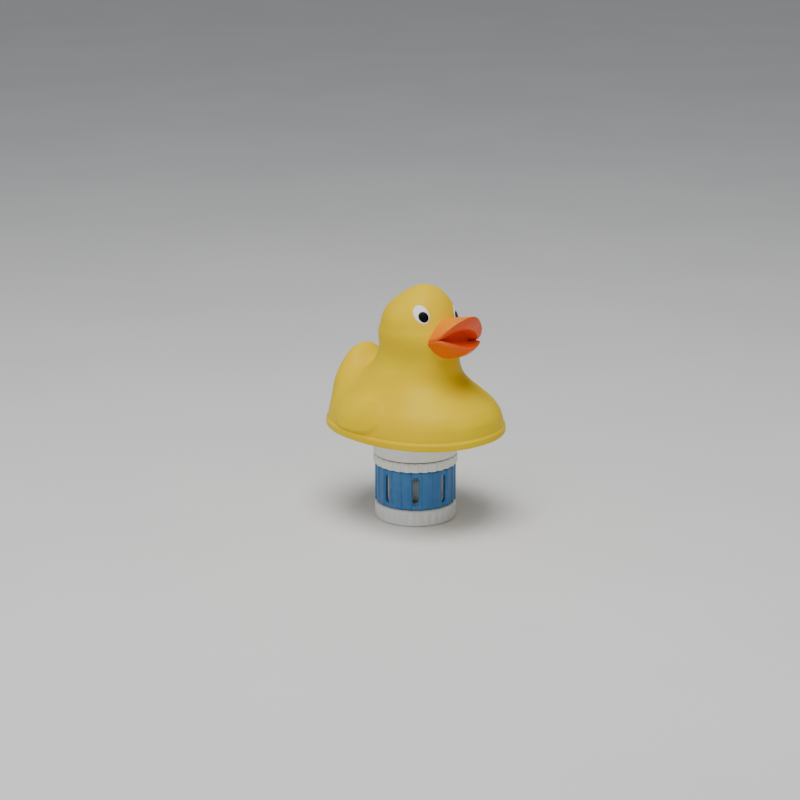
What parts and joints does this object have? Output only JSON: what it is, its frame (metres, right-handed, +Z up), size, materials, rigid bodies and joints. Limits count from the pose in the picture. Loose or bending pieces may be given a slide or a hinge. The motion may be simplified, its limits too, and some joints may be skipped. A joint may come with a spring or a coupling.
{
  "type": "floating chlorine dispenser",
  "caption": "Duck-shaped vinyl float over a twist-off, weighted tablet canister with a turning vent sleeve that sets how much pool chlorine dissolves.",
  "frame": {"origin": "centre of the flat face that the canister stands on", "axes": "+Z up along the canister's axis; the duck faces -Y, and its own left is +X"},
  "size_m": [0.0946, 0.1124, 0.1434],
  "materials": {
    "yellow_vinyl": "satin soft vinyl",
    "orange_paint": "satin sprayed paint",
    "white_paint": "satin printed paint",
    "black_paint": "satin printed paint",
    "white_plastic": "fine moulded texture",
    "blue_plastic": "fine moulded texture",
    "seal_rubber": "matte",
    "stainless": "bright turned",
    "zinc_steel": "zinc plated",
    "chlorine": "chalky pressed powder"
  },
  "bodies": {
    "canister": {"tablet_basket": "white_plastic", "tablet_tray": "blue_plastic", "drag_ring": "seal_rubber", "base_cap": "white_plastic", "ballast_ring": "zinc_steel", "ballast_lid": "white_plastic", "chlorine_tablet_1": "chlorine", "chlorine_tablet_2": "chlorine"},
    "seal": {"neck_seal": "seal_rubber"},
    "duck_float": {"duck_shell": "yellow_vinyl", "bill": "orange_paint", "eye_white_left": "white_paint", "eye_white_right": "white_paint", "pupil_left": "black_paint", "pupil_right": "black_paint", "clamp_ring": "white_plastic", "float_gasket": "seal_rubber", "neck_cap": "white_plastic", "neck_screws": "stainless"},
    "sleeve": {"vent_sleeve": "blue_plastic"}
  },
  "joints": [
    {"name": "neck_rise", "type": "slide", "parent": "canister", "child": "seal", "axis": [0, 0, 1], "range_m": [0, 0.004]},
    {"name": "neck_unscrew", "type": "hinge", "parent": "seal", "child": "duck_float", "pos_m": [0, 0, 0.045], "axis": [0, 0, 1], "range_deg": [0, 150]},
    {"name": "vent_sleeve_turn", "type": "hinge", "parent": "canister", "child": "sleeve", "pos_m": [0, 0, 0.022], "axis": [0, 0, 1], "range_deg": [0, 22.5]}
  ],
  "couplings": [
    {"joint": "neck_rise", "follows": "neck_unscrew", "m_per_rad": 0.0015278}
  ]
}
